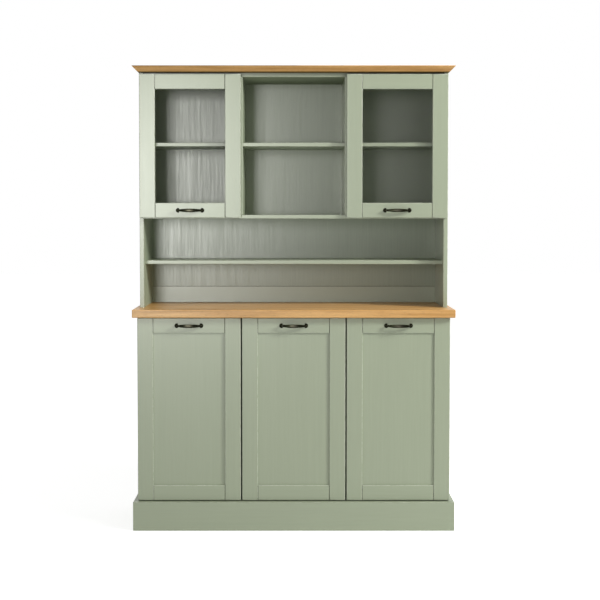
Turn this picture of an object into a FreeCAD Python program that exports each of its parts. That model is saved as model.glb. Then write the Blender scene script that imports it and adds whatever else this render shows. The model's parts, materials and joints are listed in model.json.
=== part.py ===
# A two-part display cabinet: a base with three framed doors under an oak worktop, and a hutch
# with an open niche, a middle display bay and two glazed doors under an oak cornice.
# The frame: X to the right, Y to the back, Z up, with the origin on the floor under the middle
# of the whole cabinet. The doors face -Y.
import FreeCAD, Part
import os
import re
import Sketcher

# Driving sizes in millimetres. Each one can be changed by itself.
SIZES = {
    # boards and backs
    "carcass_width": 1311,
    "board_thickness": 18,
    "shelf_thickness": 16,
    "back_thickness": 6,
    "back_inset": 12,
    "groove_depth": 8,
    "groove_play": 1,
    "edge_ease": 1,
    # plinth
    "plinth_height": 121,
    "plinth_thickness": 20,
    "plinth_setback": 1,
    "cleat_width": 60,
    "cleat_height": 25,
    # base
    "base_depth": 385,
    "stretcher_width": 90,
    "base_shelf_height": 510,
    "base_shelf_setback": 20,
    # worktop
    "worktop_height": 930,
    "worktop_thickness": 34,
    "worktop_side_overhang": 19.5,
    "worktop_front_overhang": 22.5,
    "worktop_round": 3,
    # hutch
    "hutch_depth": 313,
    "hutch_height": 997,
    "niche_height": 379,
    "niche_shelf_rise": 183,
    "niche_shelf_depth": 236,
    "niche_rail_height": 73,
    "niche_rail_thickness": 16,
    "centre_bay_width": 433,
    "display_shelf_rise": 291,
    "display_shelf_setback": 12,
    # cornice
    "cornice_height": 25,
    "cornice_width": 75,
    "cornice_proud": 2,
    "cornice_flare": 22.5,
    "cornice_lip": 2,
    # doors
    "door_thickness": 20,
    "door_gap": 2.5,
    "door_side_gap": 6,
    "base_door_top_gap": 3,
    "base_door_bottom_gap": 4,
    "glazed_door_top_gap": 8,
    "glazed_door_lift": 4,
    "glazed_door_inset": 2.5,
    "divider_reveal": 8,
    "stile_width": 66,
    "rail_width": 63,
    "door_ease": 1.5,
    "tongue_length": 8,
    "panel_thickness": 6,
    "panel_recess": 7,
    "panel_play": 1,
    "rebate_width": 8,
    "rebate_lip": 8,
    "glass_thickness": 4,
    "glass_play": 1.5,
    # shelf pins
    "shelf_play": 1,
    "pin_radius": 2.5,
    "pin_seat": 7,
    "pin_reach": 8,
    "pin_inset": 55,
    # door hinges
    "hinge_inset": 100,
    "pivot_inset": 7,
    "pivot_depth": 11.5,
    "pivot_radius": 1,
    "pivot_clearance": 0.05,
    "pivot_half_length": 6.8,
    "knuckle_radius": 1.5,
    "neck_half_width": 3.6,
    "ear_start": 4,
    "ear_margin": 1.7,
    "cup_radius": 17.5,
    "cup_edge": 3,
    "cup_depth": 14,
    "cup_wall": 0.8,
    "cup_floor": 0.7,
    "cup_rim": 1.2,
    "cup_clearance": 0.1,
    "cup_screw_spacing": 45,
    "cup_screw_offset": 9.5,
    "flange_thickness": 1.2,
    "flange_margin": 5.5,
    "arm_thickness": 3.5,
    "arm_half_width": 7.5,
    "arm_shoulder": 2,
    "arm_tail": 14,
    "plate_thickness": 3,
    "plate_setback": 37,
    "plate_screw_spacing": 32,
    "plate_half_width": 6.5,
    "plate_margin": 6,
    "plate_lead": 12,
    # screws
    "screw_radius": 1.75,
    "screw_bite": 12,
    "screw_head_radius": 3.4,
    "screw_head_height": 1.6,
    "screw_clearance": 0.05,
    "handle_screw_radius": 2,
    "handle_screw_bite": 8,
    "handle_screw_head_radius": 4,
    "handle_screw_head_height": 2.6,
    # handles
    "handle_spacing": 101,
    "rosette_radius": 9.75,
    "rosette_edge": 1.2,
    "rosette_height": 4.5,
    "post_radius": 4.3,
    "post_height": 12,
    "knob_radius": 5.4,
    "grip_reach": 21.5,
    "grip_thickness": 7,
    "grip_height": 15,
    "grip_end_thickness": 6,
    "grip_end_height": 8.5,
    # door bumpers
    "bumper_radius": 4,
    "bumper_clearance": 0.3,
    "bumper_inset": 40,
    # how far a cutting block runs past the piece
    "overrun": 5,
}

# Places and sizes that follow from the driving ones. A formula may use other formulas.
FORMULAS = {
    # planes, from the back to the front
    "rear": "(base_depth + door_gap + door_thickness + front_reach) / 2",
    "front_reach": "max(worktop_front_overhang; handle_reach)",
    "handle_reach": "grip_reach + grip_thickness / 2",
    "back_face": "rear - back_inset - back_thickness",
    "base_front": "rear - base_depth",
    "base_door_back": "base_front - door_gap",
    "worktop_front": "base_door_back - door_thickness - worktop_front_overhang",
    "plinth_front_face": "worktop_front + plinth_setback",
    "plinth_inside": "plinth_front_face + plinth_thickness",
    "hutch_front": "rear - hutch_depth",
    "hutch_door_back": "hutch_front - door_gap",
    "cornice_foot": "hutch_door_back - door_thickness - cornice_proud",
    # planes, from the middle to the side
    "carcass_half": "carcass_width / 2",
    "inside_half": "carcass_half - board_thickness",
    "back_half": "inside_half + groove_depth - groove_play",
    "worktop_half": "carcass_half + worktop_side_overhang",
    "cornice_half": "carcass_half + cornice_proud",
    "plinth_half": "worktop_half - plinth_setback",
    "base_door_width": "(carcass_width - 2 * door_side_gap) / 3",
    "base_door_pitch": "base_door_width + door_side_gap",
    "divider_inner": "(base_door_pitch - board_thickness) / 2",
    "divider_outer": "(base_door_pitch + board_thickness) / 2",
    "centre_half": "centre_bay_width / 2",
    "hutch_divider_outer": "centre_half + board_thickness",
    "glazed_door_width": "carcass_half - glazed_door_inset - centre_half - divider_reveal",
    # planes, from the floor up
    "base_floor_top": "plinth_height + board_thickness",
    "base_door_bottom": "plinth_height + base_door_bottom_gap",
    "base_door_height": "worktop_bottom - base_door_top_gap - base_door_bottom",
    "stretcher_bottom": "worktop_bottom - board_thickness",
    "worktop_bottom": "worktop_height - worktop_thickness",
    "niche_rail_top": "worktop_height + niche_rail_height",
    "niche_shelf_bottom": "worktop_height + niche_shelf_rise",
    "hutch_floor_bottom": "worktop_height + niche_height",
    "hutch_floor_top": "hutch_floor_bottom + shelf_thickness",
    "display_shelf_bottom": "hutch_floor_top + display_shelf_rise",
    "hutch_top_bottom": "hutch_crown - board_thickness",
    "hutch_crown": "worktop_height + hutch_height",
    "glazed_door_bottom": "hutch_floor_bottom + glazed_door_lift",
    "glazed_door_height": "hutch_crown - glazed_door_top_gap - glazed_door_bottom",
    # door joinery, in from the door's own back face
    "panel_front": "panel_recess - door_thickness",
    "panel_back": "panel_front + panel_thickness",
    "glass_front": "rebate_lip - door_thickness",
    "glass_back": "glass_front + glass_thickness",
    # hinge, in from the hinge edge and the back face of its door
    "cup_centre": "cup_edge + cup_radius",
    "cup_screw_line": "cup_centre + cup_screw_offset",
    "cup_screw_rise": "cup_screw_spacing / 2",
    "arm_face": "board_thickness + plate_thickness",
    "arm_back": "arm_face + arm_thickness",
    "plate_line": "door_gap + plate_setback",
    "plate_screw_rise": "plate_screw_spacing / 2",
    "middle_overlap": "(board_thickness - door_side_gap) / 2",
    "screw_hole": "screw_radius + screw_clearance",
    # handle, out from the front face of its door
    "handle_half": "handle_spacing / 2",
    "grip_half": "handle_half - post_radius",
    "grip_bow": "grip_reach - post_height",
    "handle_screw_hole": "handle_screw_radius + screw_clearance",
    "handle_rise": "rail_width / 2",
}

# Where the cross-sections of a grip lie along its half length, and how far each has gone from
# the size and place at the end to those in the middle.
GRIP_STATION_SHARES = (-1, -0.55, 0, 0.55, 1)
GRIP_FULLNESS_SHARES = (0, 0.62, 1, 0.62, 0)

QUARTER_TURN = 90
TURNS = {
    "z": FreeCAD.Rotation(),
    "x": FreeCAD.Rotation(FreeCAD.Vector(0, 1, 0), QUARTER_TURN),
    "-x": FreeCAD.Rotation(FreeCAD.Vector(0, 1, 0), -QUARTER_TURN),
    "y": FreeCAD.Rotation(FreeCAD.Vector(1, 0, 0), -QUARTER_TURN),
    "-y": FreeCAD.Rotation(FreeCAD.Vector(1, 0, 0), QUARTER_TURN),
}

# The bounding plane of each side of a shape: the coordinate of a point, and the box's limit.
SIDES = {
    "left": ("x", "XMin"),
    "right": ("x", "XMax"),
    "front": ("y", "YMin"),
    "back": ("y", "YMax"),
    "bottom": ("z", "ZMin"),
    "top": ("z", "ZMax"),
}
# How far apart two coordinates may lie and still count as one plane, as a share of a millimetre.
TOUCH_SHARE = 1e-6

doc = FreeCAD.newDocument("display_cabinet")
sheet = doc.addObject("Spreadsheet::Sheet", "Sizes")
for row, (word, size) in enumerate(SIZES.items(), 1):
    sheet.set("A%d" % row, word)
    sheet.set("B%d" % row, str(size))
    sheet.setAlias("B%d" % row, word)
doc.recompute()

sub_parts = []


def formula(text):
    """Spell a formula out in cells of the sheet."""
    def spell(match):
        word = match.group()
        if word in FORMULAS:
            return "(" + formula(FORMULAS[word]) + ")"
        return "Sizes." + word if word in SIZES else word
    return re.sub(r"[a-z][a-z_]*", spell, text)


def tie(thing, **formulas):
    """Bind properties of an object to the sheet."""
    for name, text in formulas.items():
        thing.setExpression(name, formula(text))


def settle(thing, x="0", y="0", z="0"):
    """Bind the place of an object to the sheet."""
    for axis, text in (("x", x), ("y", y), ("z", z)):
        thing.setExpression("Placement.Base." + axis, formula(text))


def sub_part(node, thing):
    """Name a finished sub-part; its label is also the name of its file."""
    thing.Label = node
    sub_parts.append(thing)
    return thing


def new_body(name, x="0", y="0", z="0"):
    body = doc.addObject("PartDesign::Body", name)
    settle(body, x, y, z)
    return body


def block(body, name, x, y, z, cut=False):
    """Add or cut a block that runs between two planes each way."""
    kind = "PartDesign::SubtractiveBox" if cut else "PartDesign::AdditiveBox"
    feature = body.newObject(kind, name)
    spans = {"Length": x, "Width": y, "Height": z}
    tie(feature, **{side: "(%s) - (%s)" % (high, low) for side, (low, high) in spans.items()})
    settle(feature, x[0], y[0], z[0])
    return feature


def rod(body, name, radius, length, at, along, cut=False):
    """Add or cut a cylinder that starts at a point and runs along an axis."""
    kind = "PartDesign::SubtractiveCylinder" if cut else "PartDesign::AdditiveCylinder"
    feature = body.newObject(kind, name)
    feature.Placement = FreeCAD.Placement(FreeCAD.Vector(), TURNS[along])
    tie(feature, Radius=radius, Height=length)
    settle(feature, *at)
    return feature


def rim(shape, side, but=()):
    """Name the edges of a shape that lie on one side of it, but on none of some other sides."""
    def lies_on(edge, name):
        axis, limit = SIDES[name]
        plane = getattr(shape.BoundBox, limit)
        return all(abs(getattr(corner.Point, axis) - plane) < TOUCH_SHARE for corner in edge.Vertexes)
    return ["Edge%d" % (index + 1) for index, edge in enumerate(shape.Edges)
            if lies_on(edge, side) and not any(lies_on(edge, other) for other in but)]


def ease(body, feature, size, *edges):
    """Take the sharpness off edges of a feature with a small chamfer."""
    doc.recompute()
    chamfer = body.newObject("PartDesign::Chamfer", "Ease")
    chamfer.Base = (feature, [name for names in edges for name in names])
    tie(chamfer, Size=size)
    return chamfer


def sketch_on(body, role, name, corners):
    """Draw a closed outline of straight runs, with every corner bound to the sheet."""
    plane = next(item for item in body.Origin.OriginFeatures if item.Role == role)
    sketch = body.newObject("Sketcher::SketchObject", name)
    sketch.AttachmentSupport = (plane, [""])
    sketch.MapMode = "FlatFace"
    spelled = [(formula(across), formula(up)) for across, up in corners]
    points = [FreeCAD.Vector(float(body.evalExpression(across)), float(body.evalExpression(up)), 0)
              for across, up in spelled]
    following = points[1:] + points[:1]
    for start, end in zip(points, following):
        sketch.addGeometry(Part.LineSegment(start, end), False)
    for index in range(len(points)):
        joined = (index + 1) % len(points)
        sketch.addConstraint(Sketcher.Constraint("Coincident", index, 2, joined, 1))
    for index, (texts, point) in enumerate(zip(spelled, points)):
        for kind, text, value in zip(("DistanceX", "DistanceY"), texts, (point.x, point.y)):
            number = sketch.addConstraint(Sketcher.Constraint(kind, -1, 1, index, 1, value))
            sketch.setExpression("Constraints[%d]" % number, text)
    return sketch


def pad(body, name, sketch, length, midplane=False, backwards=False):
    feature = body.newObject("PartDesign::Pad", name)
    feature.Profile = sketch
    feature.Midplane = midplane
    feature.Reversed = backwards
    tie(feature, Length=length)
    return feature


def group(name, pieces, x="0", y="0", z="0"):
    """Hold pieces together as separate solids, and set them down at one place."""
    held = doc.addObject("Part::Compound", name)
    held.Links = pieces
    settle(held, x, y, z)
    return held


def mirror(name, source):
    """Make the piece that stands opposite in the other half of the cabinet."""
    opposite = doc.addObject("Part::Mirroring", name)
    opposite.Source = source
    opposite.Normal = (1, 0, 0)
    return opposite


def board(name, x, y, z, eased=("left", "right")):
    """A plain board between planes of the cabinet; its front edge is eased but where it butts."""
    body = new_body(name, x[0], y[0], z[0])
    blank = block(body, "Blank", *[("0", "(%s) - (%s)" % (high, low)) for low, high in (x, y, z)])
    doc.recompute()
    ease(body, blank, "edge_ease", rim(blank.Shape, "front", but=eased))
    return body


def slab(name, x, y, z):
    """A square-edged piece between planes of the cabinet."""
    body = new_body(name, x[0], y[0], z[0])
    block(body, "Blank", *[("0", "(%s) - (%s)" % (high, low)) for low, high in (x, y, z)])
    return body


def centred(half):
    return "-(%s)" % half, half


def plinth():
    """A mitred skirt round the foot, with cleats inside it that carry the base."""
    depth = "rear - plinth_front_face"
    front = new_body("plinth_front", y="plinth_front_face")
    outline = sketch_on(front, "XY_Plane", "PlinthFrontOutline", (
        ("-plinth_half", "0"), ("plinth_half", "0"),
        ("plinth_half - plinth_thickness", "plinth_thickness"),
        ("plinth_thickness - plinth_half", "plinth_thickness")))
    raised = pad(front, "PlinthFront", outline, "plinth_height")
    doc.recompute()
    ease(front, raised, "edge_ease", rim(raised.Shape, "front", but=("left", "right")))
    sub_part("plinth_front", front)

    left = new_body("plinth_left", "-plinth_half", "plinth_front_face")
    outline = sketch_on(left, "XY_Plane", "PlinthReturnOutline", (
        ("0", "0"), ("plinth_thickness", "plinth_thickness"), ("plinth_thickness", depth), ("0", depth)))
    raised = pad(left, "PlinthReturn", outline, "plinth_height")
    doc.recompute()
    ease(left, raised, "edge_ease", rim(raised.Shape, "left", but=("front", "back")))
    sub_part("plinth_returns", group("plinth_returns", [left, mirror("plinth_right", left)]))

    between = centred("plinth_half - plinth_thickness")
    standing = ("0", "plinth_height")
    sub_part("plinth_rear", slab("plinth_rear", between, ("rear - plinth_thickness", "rear"), standing))

    under = ("plinth_height - cleat_height", "plinth_height")
    front_cleat = slab("front_cleat", between, ("plinth_inside", "plinth_inside + cleat_width"), under)
    rear_cleat = slab("rear_cleat", between,
                      ("rear - plinth_thickness - cleat_width", "rear - plinth_thickness"), under)
    left_cleat = slab("left_cleat",
                      ("plinth_thickness - plinth_half", "plinth_thickness + cleat_width - plinth_half"),
                      ("plinth_inside + cleat_width", "rear - plinth_thickness - cleat_width"), under)
    cleats = [front_cleat, rear_cleat, left_cleat, mirror("right_cleat", left_cleat)]
    sub_part("plinth_cleats", group("plinth_cleats", cleats))


def back_groove(body, back_face, height):
    """The groove in the inner face of a left-hand side board that holds the back."""
    block(body, "BackGroove", ("board_thickness - groove_depth", "board_thickness + overrun"),
          (back_face, "%s + back_thickness" % back_face), ("-overrun", "%s + overrun" % height), cut=True)


def pin_holes(body, face, along, rows, height):
    """Blind holes for shelf pins in one face of an upright board."""
    for number, row in enumerate(rows):
        rod(body, "PinHole%d" % number, "pin_radius + screw_clearance", "pin_seat + overrun",
            (face, row, height), along, cut=True)


def plate_holes(body, face, door_bottom, door_height):
    """Pilot holes for the screws of two hinge plates, drilled from one face of a board."""
    for hinge in ("hinge_inset", "%s - hinge_inset" % door_height):
        for rise in ("plate_screw_rise", "-plate_screw_rise"):
            rod(body, "PlateHole", "screw_hole", "screw_bite + overrun",
                (face, "plate_setback", "%s + %s + %s" % (door_bottom, hinge, rise)), "x", cut=True)


def pin_rows(front):
    """Where the pins of a shelf stand, from the front of their board to the back."""
    return "pin_inset", "back_face - (%s) - pin_inset" % front


def base():
    """The carcass of the base: two sides, two dividers, a floor, stretchers, a back and shelves."""
    height = "(worktop_bottom - plinth_height)"
    side = board("base_side_left", ("-carcass_half", "-inside_half"), ("base_front", "rear"),
                 ("plinth_height", "worktop_bottom"), eased=())
    back_groove(side, "(back_face - base_front)", height)
    pin_level = "base_shelf_height - pin_radius"
    pin_holes(side, "board_thickness - pin_seat", "x", pin_rows("base_front"),
              "%s - plinth_height" % pin_level)
    plate_holes(side, "board_thickness - screw_bite", "base_door_bottom - plinth_height",
                "base_door_height")
    sub_part("base_side_left", side)
    sub_part("base_side_right", mirror("base_side_right", side))

    dividers = []
    for name, x in (("left", ("-divider_outer", "-divider_inner")),
                    ("right", ("divider_inner", "divider_outer"))):
        divider = board("base_divider_" + name, x, ("base_front", "back_face"),
                        ("base_floor_top", "stretcher_bottom"), eased=())
        level = "%s - base_floor_top" % pin_level
        pin_holes(divider, "board_thickness - pin_seat", "x", pin_rows("base_front"), level)
        pin_holes(divider, "pin_seat", "-x", pin_rows("base_front"), level)
        dividers.append(divider)
    plate_holes(dividers[0], "board_thickness - screw_bite", "base_door_bottom - base_floor_top",
                "base_door_height")
    sub_part("base_dividers", group("base_dividers", dividers))

    wide = centred("inside_half")
    deep = ("base_front", "back_face")
    sub_part("base_floor", board("base_floor", wide, deep, ("plinth_height", "base_floor_top")))
    top = ("stretcher_bottom", "worktop_bottom")
    stretchers = [board("front_stretcher", wide, ("base_front", "base_front + stretcher_width"), top),
                  slab("rear_stretcher", wide, ("back_face - stretcher_width", "back_face"), top)]
    sub_part("base_stretchers", group("base_stretchers", stretchers))
    sub_part("base_back", slab("base_back", centred("back_half"), ("back_face", "back_face + back_thickness"),
                               ("plinth_height", "worktop_bottom")))

    shelf_deep = ("base_front + base_shelf_setback", "back_face")
    shelf_high = ("base_shelf_height", "base_shelf_height + shelf_thickness")
    outer = board("base_shelf_left", ("shelf_play - inside_half", "-divider_outer - shelf_play"),
                  shelf_deep, shelf_high)
    middle = board("base_shelf_middle", centred("divider_inner - shelf_play"), shelf_deep, shelf_high)
    sub_part("base_shelves", group("base_shelves", [outer, middle, mirror("base_shelf_right", outer)]))


def worktop():
    """The oak top, rounded along its front and its ends."""
    body = new_body("worktop", "-worktop_half", "worktop_front", "worktop_bottom")
    blank = block(body, "Blank", ("0", "2 * worktop_half"), ("0", "rear - worktop_front"),
                  ("0", "worktop_thickness"))
    doc.recompute()
    ends = ["left", "right"]
    edges = rim(blank.Shape, "front")
    for end in ends:
        edges += [edge for edge in rim(blank.Shape, end, but=("back", "front"))]
    rounding = body.newObject("PartDesign::Fillet", "RoundedEdges")
    rounding.Base = (blank, edges)
    tie(rounding, Radius="worktop_round")
    sub_part("worktop", body)


def hutch():
    """The hutch: two sides, two dividers, a floor, a top, shelves and a two-part back."""
    side = board("hutch_side_left", ("-carcass_half", "-inside_half"), ("hutch_front", "rear"),
                 ("worktop_height", "hutch_crown"), eased=())
    back_groove(side, "(back_face - hutch_front)", "hutch_height")
    pin_level = "display_shelf_bottom - pin_radius"
    pin_holes(side, "board_thickness - pin_seat", "x", pin_rows("hutch_front"),
              "%s - worktop_height" % pin_level)
    plate_holes(side, "board_thickness - screw_bite", "glazed_door_bottom - worktop_height",
                "glazed_door_height")
    sub_part("hutch_side_left", side)
    sub_part("hutch_side_right", mirror("hutch_side_right", side))

    wide = centred("inside_half")
    deep = ("hutch_front", "back_face")
    sub_part("hutch_floor", board("hutch_floor", wide, deep, ("hutch_floor_bottom", "hutch_floor_top")))
    sub_part("hutch_top", board("hutch_top", wide, deep, ("hutch_top_bottom", "hutch_crown")))
    divider = board("hutch_divider_left", ("-hutch_divider_outer", "-centre_half"), deep,
                    ("hutch_floor_top", "hutch_top_bottom"), eased=("top", "bottom"))
    pin_holes(divider, "pin_seat", "-x", pin_rows("hutch_front"), "%s - hutch_floor_top" % pin_level)
    dividers = [divider, mirror("hutch_divider_right", divider)]
    sub_part("hutch_dividers", group("hutch_dividers", dividers))

    shelf_deep = ("hutch_front + display_shelf_setback", "back_face")
    shelf_high = ("display_shelf_bottom", "display_shelf_bottom + shelf_thickness")
    glazed = board("glazed_shelf_left", ("shelf_play - inside_half", "-hutch_divider_outer - shelf_play"),
                   shelf_deep, shelf_high)
    centre = board("centre_shelf", centred("centre_half"), shelf_deep, shelf_high)
    sub_part("display_shelves",
             group("display_shelves", [glazed, centre, mirror("glazed_shelf_right", glazed)]))
    sub_part("niche_shelf", board("niche_shelf", wide, ("back_face - niche_shelf_depth", "back_face"),
                                  ("niche_shelf_bottom", "niche_shelf_bottom + shelf_thickness")))

    sub_part("hutch_back", slab("hutch_back", centred("back_half"),
                                ("back_face", "back_face + back_thickness"),
                                ("niche_rail_top", "hutch_crown")))
    sub_part("niche_back_rail", board("niche_back_rail", wide,
                                      ("back_face", "back_face + niche_rail_thickness"),
                                      ("worktop_height", "niche_rail_top")))


def cornice():
    """A flared oak moulding round the front and both ends of the hutch, mitred at its corners."""
    section = (("0", "0"), ("cornice_width", "0"), ("cornice_width", "cornice_height"),
               ("-cornice_flare", "cornice_height"), ("-cornice_flare", "cornice_height - cornice_lip"))
    half = "(cornice_half + cornice_flare)"
    span = "(cornice_width + cornice_flare)"

    front = new_body("cornice_front", y="cornice_foot", z="hutch_crown")
    outline = sketch_on(front, "YZ_Plane", "CorniceFrontOutline", section)
    pad(front, "CorniceFront", outline, "2 * %s" % half, midplane=True)
    for name, hand in (("Left", "-1"), ("Right", "1")):
        waste = sketch_on(front, "XY_Plane", "Mitre" + name, (
            ("%s * (%s + overrun)" % (hand, half), "-cornice_flare - overrun"),
            ("%s * (%s + overrun)" % (hand, half), "cornice_width + overrun"),
            ("%s * (%s - %s - overrun)" % (hand, half, span), "cornice_width + overrun")))
        mitre = front.newObject("PartDesign::Pocket", "CutMitre" + name)
        mitre.Profile = waste
        mitre.Reversed = True
        tie(mitre, Length="cornice_height + overrun")
    sub_part("cornice_front", front)

    left = new_body("cornice_left", "-cornice_half", "cornice_foot - cornice_flare", "hutch_crown")
    outline = sketch_on(left, "XZ_Plane", "CorniceReturnOutline", section)
    pad(left, "CorniceReturn", outline, "rear - cornice_foot + cornice_flare", backwards=True)
    waste = sketch_on(left, "XY_Plane", "MitreReturn", (
        ("-cornice_flare - overrun", "-overrun"), ("cornice_width + overrun", "-overrun"),
        ("cornice_width + overrun", "%s + overrun" % span)))
    mitre = left.newObject("PartDesign::Pocket", "CutMitreReturn")
    mitre.Profile = waste
    mitre.Reversed = True
    tie(mitre, Length="cornice_height + overrun")
    sub_part("cornice_returns", group("cornice_returns", [left, mirror("cornice_right", left)]))


def shelf_pins():
    """Pins that carry the loose shelves, four to a shelf."""
    def pins(name, faces, rows, front, level):
        made = []
        for face, along in faces:
            for row in rows:
                body = new_body(name, face, "%s + %s" % (front, row), level)
                rod(body, "Pin", "pin_radius", "pin_seat + pin_reach", ("0", "0", "0"), along)
                made.append(body)
        return made

    level = "base_shelf_height - pin_radius"
    rows = pin_rows("base_front")
    left = group("base_pins_left", pins("base_pin", (
        ("-inside_half - pin_seat", "x"), ("-divider_outer + pin_seat", "-x")), rows, "base_front", level))
    middle = group("base_pins_middle", pins("base_pin", (
        ("-divider_inner - pin_seat", "x"), ("divider_inner + pin_seat", "-x")), rows, "base_front", level))
    glazed = group("glazed_pins_left", pins("glazed_pin", (
        ("-inside_half - pin_seat", "x"), ("-hutch_divider_outer + pin_seat", "-x")),
        pin_rows("hutch_front"), "hutch_front", "display_shelf_bottom - pin_radius"))
    sub_part("shelf_pins", group("shelf_pins", [
        left, middle, mirror("base_pins_right", left), glazed, mirror("glazed_pins_right", glazed)]))


class DoorPlan:
    """Where a door hangs and how large it is, and the names that its pieces get."""

    def __init__(self, name, x, y, z, width, height):
        self.name = name
        self.place = (x, y, z)
        self.width = width
        self.height = height
        self.hinges = ("hinge_inset", "%s - hinge_inset" % height)

    def body(self, piece, x="0", z="0"):
        """A new piece in the door's own frame: hinge edge, back face and lower end."""
        left, back, bottom = self.place
        return new_body("%s_%s" % (self.name, piece), "%s + %s" % (left, x), back,
                        "%s + %s" % (bottom, z))


def cup_bores(body, hinges):
    """Recesses in the back of a hinge stile for the cups, with their pilot holes."""
    for centre in hinges:
        rod(body, "CupBore", "cup_radius + cup_clearance", "cup_depth + cup_clearance",
            ("cup_centre", "0", centre), "-y", cut=True)
        for rise in ("cup_screw_rise", "-cup_screw_rise"):
            rod(body, "CupScrewHole", "screw_hole", "screw_bite",
                ("cup_screw_line", "0", "%s + %s" % (centre, rise)), "-y", cut=True)


def stile(plan, piece, glazed):
    """An upright of a door's frame, seen as the one on the hinge side."""
    body = plan.body(piece)
    blank = block(body, "Blank", ("0", "stile_width"), ("-door_thickness", "0"), ("0", plan.height))
    doc.recompute()
    ease(body, blank, "door_ease", rim(blank.Shape, "front"))
    if glazed:
        block(body, "Rebate", ("stile_width - rebate_width", "stile_width + overrun"),
              ("glass_front", "overrun"), ("-overrun", "%s + overrun" % plan.height), cut=True)
    else:
        block(body, "Groove", ("stile_width - tongue_length", "stile_width + overrun"),
              ("panel_front", "panel_back"), ("-overrun", "%s + overrun" % plan.height), cut=True)
    return body


def stiles(plan, glazed):
    hinge_stile = stile(plan, "hinge_stile", glazed)
    cup_bores(hinge_stile, plan.hinges)
    plain = stile(plan, "plain_stile", glazed)
    settle(plain)
    turned = mirror(plan.name + "_latch_stile", plain)
    left, back, bottom = plan.place
    settle(turned, "%s + %s" % (left, plan.width), back, bottom)
    return [hinge_stile, turned]


def rail(plan, piece, z, inner, glazed, handle_holes):
    """A crosspiece of a door's frame; inner is the edge that faces the panel or the glass."""
    length = "(%s - 2 * stile_width)" % plan.width
    body = plan.body(piece, "stile_width", z)
    across = ("0", length)
    blank = block(body, "Blank", across, ("-door_thickness", "0"), ("0", "rail_width"))
    doc.recompute()
    ease(body, blank, "door_ease", rim(blank.Shape, "front"))
    if glazed:
        shoulders = ("-rebate_width", "%s + rebate_width" % length)
        block(body, "BackShoulders", shoulders, ("glass_front", "0"), ("0", "rail_width"))
        depth, cut_y = "rebate_width", ("glass_front", "overrun")
    else:
        tongues = ("-tongue_length", "%s + tongue_length" % length)
        block(body, "Tongues", tongues, ("panel_front", "panel_back"), ("0", "rail_width"))
        depth, cut_y = "tongue_length", ("panel_front", "panel_back")
    cut_z = ("-overrun", depth) if inner == "bottom" else ("rail_width - %s" % depth, "rail_width + overrun")
    block(body, "InnerEdge", ("-tongue_length - overrun", "%s + tongue_length + overrun" % length),
          cut_y, cut_z, cut=True)
    if handle_holes:
        for hand in ("-1", "1"):
            rod(body, "HandleHole", "handle_screw_hole", "door_thickness + 2 * overrun",
                ("%s / 2 + %s * handle_half" % (length, hand), "overrun", "handle_rise"), "-y", cut=True)
    return body


def panel(plan):
    """The flat field of a base door, loose in the grooves of its frame."""
    body = plan.body("panel", "stile_width - tongue_length + panel_play",
                     "rail_width - tongue_length + panel_play")
    opening_x = "(%s - 2 * stile_width)" % plan.width
    opening_z = "(%s - 2 * rail_width)" % plan.height
    block(body, "Field", ("0", "%s + 2 * (tongue_length - panel_play)" % opening_x),
          ("panel_front", "panel_back"), ("0", "%s + 2 * (tongue_length - panel_play)" % opening_z))
    return body


def glass(plan):
    """The pane of a glazed door, in the rebate of its frame."""
    margin = "(rebate_width - glass_play)"
    body = plan.body("glass", "stile_width - %s" % margin, "rail_width - %s" % margin)
    block(body, "Pane", ("0", "%s - 2 * stile_width + 2 * %s" % (plan.width, margin)),
          ("glass_front", "glass_back"), ("0", "%s - 2 * rail_width + 2 * %s" % (plan.height, margin)))
    return body


def glass_beads(plan):
    """Four strips that hold the pane in from behind, flush with the back of the frame."""
    near_x, far_x = "stile_width - rebate_width", "%s - stile_width + rebate_width" % plan.width
    near_z, far_z = "rail_width - rebate_width", "%s - rail_width + rebate_width" % plan.height
    deep = ("glass_back", "0")
    spans = {
        "bead_low": ((near_x, far_x), (near_z, "rail_width")),
        "bead_high": ((near_x, far_x), ("%s - rail_width" % plan.height, far_z)),
        "bead_near": ((near_x, "stile_width"), ("rail_width", "%s - rail_width" % plan.height)),
        "bead_far": (("%s - stile_width" % plan.width, far_x),
                     ("rail_width", "%s - rail_width" % plan.height)),
    }
    beads = []
    for name, (x, z) in spans.items():
        body = plan.body(name)
        block(body, "Strip", x, deep, z)
        beads.append(body)
    return beads


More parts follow.
